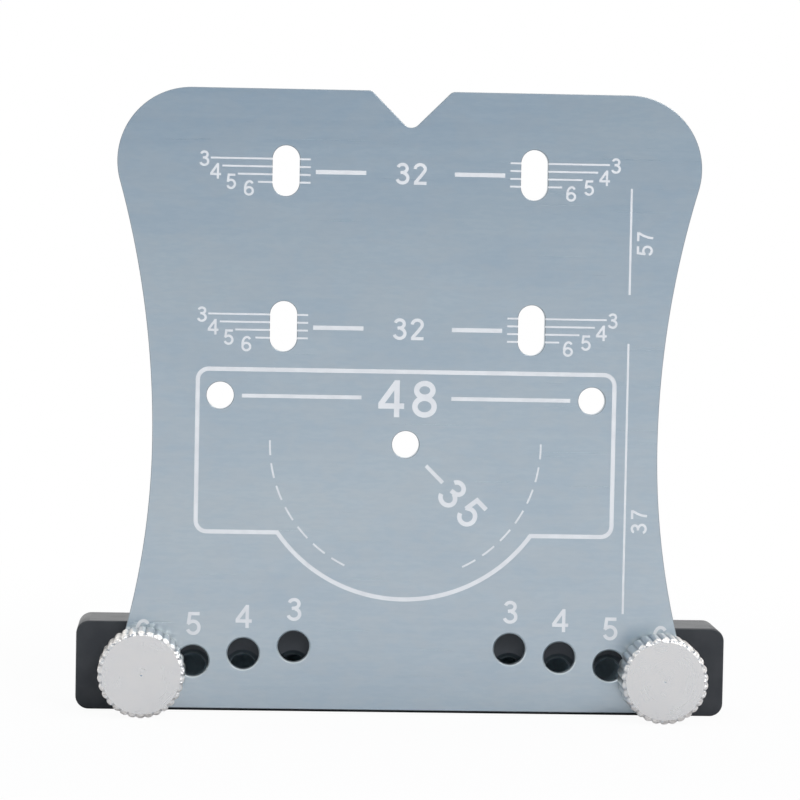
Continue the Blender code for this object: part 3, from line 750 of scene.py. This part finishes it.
def bright_nickel(name, x):
    """Nickel over turned brass: faint rings left by the lathe about the screw's own axis."""
    nickel = Finish(name, NICKEL_COLOUR, 0.24, 1.0)
    centred = nickel.add("ShaderNodeMapping", None, {"Vector": nickel.place, "Location": (-x, 0, -SCREW_Z)})
    flat = nickel.add("ShaderNodeVectorMath", {"operation": "MULTIPLY"}, {0: centred, 1: (1, 0, 1)})
    radius = nickel.add("ShaderNodeVectorMath", {"operation": "LENGTH"}, {0: flat}, "Value")
    turned = {"W": radius, "Scale": 9000.0, "Detail": 3.0}
    rings = nickel.add("ShaderNodeTexNoise", {"noise_dimensions": "1D"}, turned)
    cloud = nickel.ramp(nickel.grain((500, 500, 500), 3.0), 0.35, 0.65)
    knurl = nickel.kept("knurl")
    plated = nickel.mix(cloud, NICKEL_DULL, NICKEL_COLOUR)
    # Painted shade: the head's colour darkens towards the root of each groove of the knurl.
    groove_shade = nickel.ramp(nickel.kept("groove"), 0.30, 0.85)
    nickel.feed({"Base Color": nickel.mix(groove_shade * 0.45, plated, GROOVE_PAINTED_SHADE)})
    rough = nickel.grain((1900, 1500, 1900), 2.0)
    nickel.feed({"Roughness": 0.20 + 0.06 * rings + 0.04 * cloud + 0.06 * knurl})
    nickel.feed({"Normal": nickel.bump(rings * 0.0000004 + rough * knurl * 0.00042, 1.0)})
    return nickel.material


def on_side(face):
    """The head's side, which the knurling wheel has pressed up unevenly."""
    return float(abs(face.normal.y) < 0.98 and face.center.y < PLATE_FRONT - SEAT_GAP - COLLAR_HEIGHT)


def in_groove(face):
    """How deep in a groove of the knurl a face lies: 0 on a crest, 1 at the root."""
    angle = math.atan2(face.center.z - SCREW_Z, abs(face.center.x) - FENCE_HOLE_X[-1])
    return on_side(face) * (1 - abs(math.sin(angle * KNURL_TEETH / 2)))


screw = screw_mesh()
for side, name in ((-1, "left_thumb_screw"), (1, "right_thumb_screw")):
    x = side * FENCE_HOLE_X[-1]
    piece = placed(screw, name.replace("thumb", "knurled"), x, PLATE_FRONT - SEAT_GAP)
    mark_faces(piece, "knurl", on_side)
    mark_faces(piece, "groove", in_groove)
    shade(piece, bright_nickel(f"{name}_nickel", x))
    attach(piece, name)
    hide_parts(name)


# The stage: a white floor that runs back into white, soft light from all round, a broad lamp overhead and
# a smaller one high on the right in front. The studio behind the camera is dimmer and bluer.
FLOOR_COLOUR = (0.79, 0.79, 0.81, 1)
WHITE = (1, 1, 1, 1)
FRONT_COLOUR = (0.16, 0.27, 0.40, 1)
AMBIENT = 0.48
KEY_PLACE, KEY_SIZE, KEY_WATTS = (0.55, -0.75, 0.80), 0.45, 5.6
OVERHEAD_PLACE, OVERHEAD_SIZE, OVERHEAD_WATTS = (0, 0.45, 1.0), 0.9, 4.0
FLOOR_HALF = 6.0
LAMPS_AIM = (0, 0, 0.04)


def seen_directly(nodes):
    """Whether a ray comes from the camera, and whether it comes from metal or glass."""
    outputs = nodes.add("ShaderNodeLightPath").socket.node.outputs
    camera_ray, glossy = Wire(nodes, outputs["Is Camera Ray"]), Wire(nodes, outputs["Is Glossy Ray"])
    return camera_ray, glossy + Wire(nodes, outputs["Is Transmission Ray"])


floor_mesh = bpy.data.meshes.new("floor")
shape = bmesh.new()
bmesh.ops.create_grid(shape, x_segments=2, y_segments=2, size=FLOOR_HALF)
shape.to_mesh(floor_mesh)
shape.free()
floor = bpy.data.objects.new("floor", floor_mesh)
bpy.context.scene.collection.objects.link(floor)
white = Finish("floor", FLOOR_COLOUR, 0.9)
camera_ray, others = seen_directly(white)
from_jig = white.add("ShaderNodeVectorMath", {"operation": "LENGTH"}, {0: white.place}, "Value")
away = white.ramp(from_jig, 0.06, 0.20)
plain = white.add("ShaderNodeEmission", None, {"Color": WHITE, "Strength": 1.0})
lit = Wire(white, white.shader.outputs[0])
mirrored_away = white.ramp(from_jig, 0.12, 0.40)
share = camera_ray * (0.95 + 0.05 * away) + others * mirrored_away * 0.6
shown = white.add("ShaderNodeMixShader", None, {0: share, 1: lit, 2: plain})
white.join(shown, white.tree.nodes["Material Output"].inputs["Surface"])
floor_mesh.materials.append(white.material)

world = bpy.data.worlds.new("studio")
world.use_nodes = True
bpy.context.scene.world = world
air = Nodes(world.node_tree)
direction = air.add("ShaderNodeTexCoord", output="Generated")
parts = air.add("ShaderNodeSeparateXYZ", None, {0: direction}).socket.node.outputs
forwards = air.ramp(Wire(air, parts["Y"]) * -1.0, 0.2, 0.8)
low = 1.0 - air.ramp(Wire(air, parts["Z"]), 0.30, 0.75)
around = air.mix(forwards * low, WHITE, FRONT_COLOUR)
camera_ray, others = seen_directly(air)
backdrop = air.add("ShaderNodeBackground", None, {"Color": WHITE, "Strength": 1.0})
mirrored = air.add("ShaderNodeBackground", None, {"Color": around, "Strength": 1.0})
soft = air.add("ShaderNodeBackground", None, {"Color": (0.95, 0.97, 1, 1), "Strength": AMBIENT})
unseen = air.add("ShaderNodeMixShader", None, {0: others, 1: soft, 2: mirrored})
sky = air.add("ShaderNodeMixShader", None, {0: camera_ray, 1: unseen, 2: backdrop})
air.join(sky, world.node_tree.nodes["World Output"].inputs["Surface"])


def lamp(name, place, size, watts):
    """A square lamp that faces the jig."""
    data = bpy.data.lights.new(name, "AREA")
    data.shape, data.size, data.energy = "SQUARE", size, watts
    made = bpy.data.objects.new(name, data)
    made.location = place
    made.rotation_euler = (Vector(place) - Vector(LAMPS_AIM)).to_track_quat("Z", "Y").to_euler()
    bpy.context.scene.collection.objects.link(made)


lamp("key", KEY_PLACE, KEY_SIZE, KEY_WATTS)
lamp("overhead", OVERHEAD_PLACE, OVERHEAD_SIZE, OVERHEAD_WATTS)
